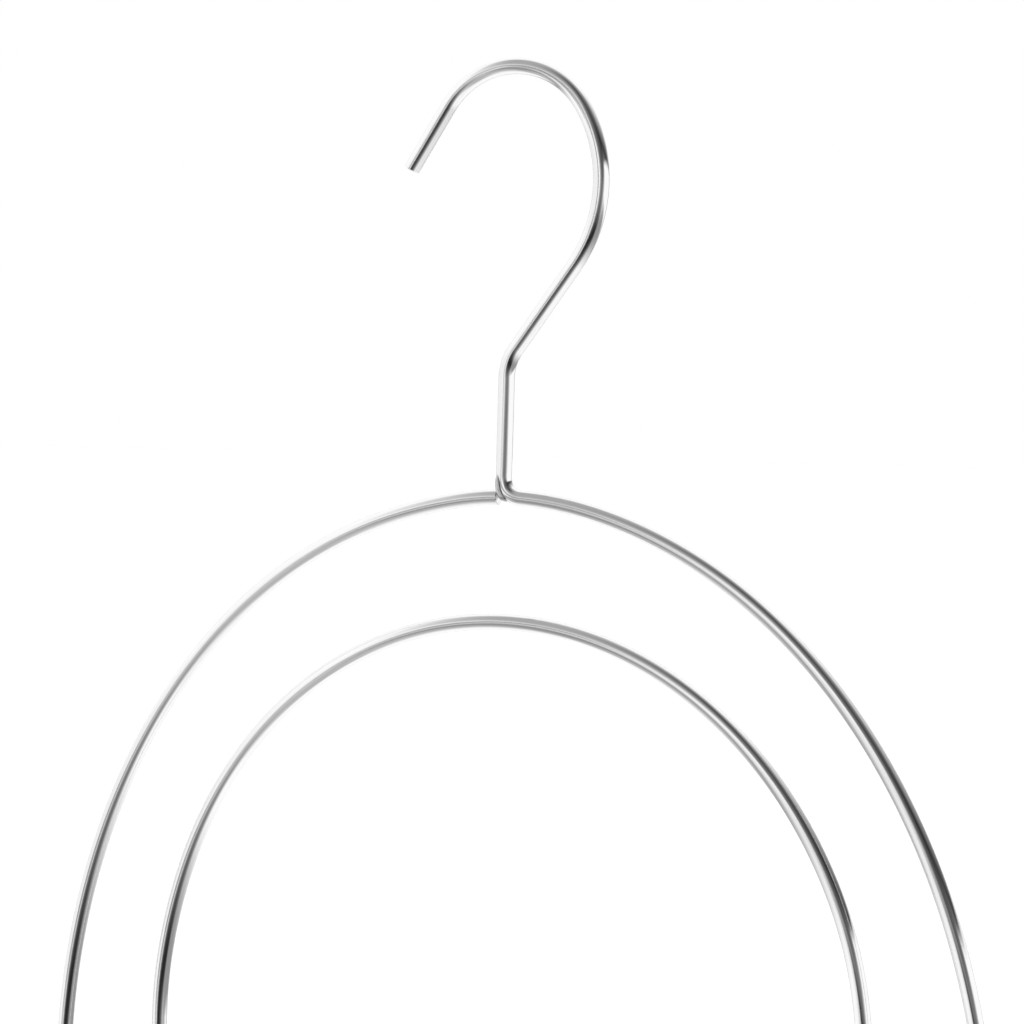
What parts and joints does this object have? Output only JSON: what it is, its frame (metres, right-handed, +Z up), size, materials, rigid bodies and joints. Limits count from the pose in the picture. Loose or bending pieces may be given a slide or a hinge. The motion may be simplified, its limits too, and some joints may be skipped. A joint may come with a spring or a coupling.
{
  "type": "cap display hanger",
  "caption": "Chrome wire hanger with a rail hook, a welded neck and a horseshoe frame whose inner arch goes inside a cap's crown.",
  "frame": {"origin": "the inside of the hook under the top of its crown, where a garment rail bears", "axes": "+Z up along the hanger's height, +X across its width with the hook's shank on the +X side, +Y to the back"},
  "size_m": [0.2572, 0.0044, 0.2877],
  "materials": {
    "chrome_wire": "bright chrome plating on drawn steel wire",
    "plated_weld": "chrome plating over an unpolished weld, duller than the wire"
  },
  "bodies": {
    "root": {"hook": "chrome_wire", "neck_stem": "chrome_wire", "outer_arch_right": "chrome_wire", "foot_right": "chrome_wire", "inner_arch": "chrome_wire", "foot_left": "chrome_wire", "outer_arch_left": "chrome_wire", "neck_weld": "plated_weld"}
  },
  "joints": []
}
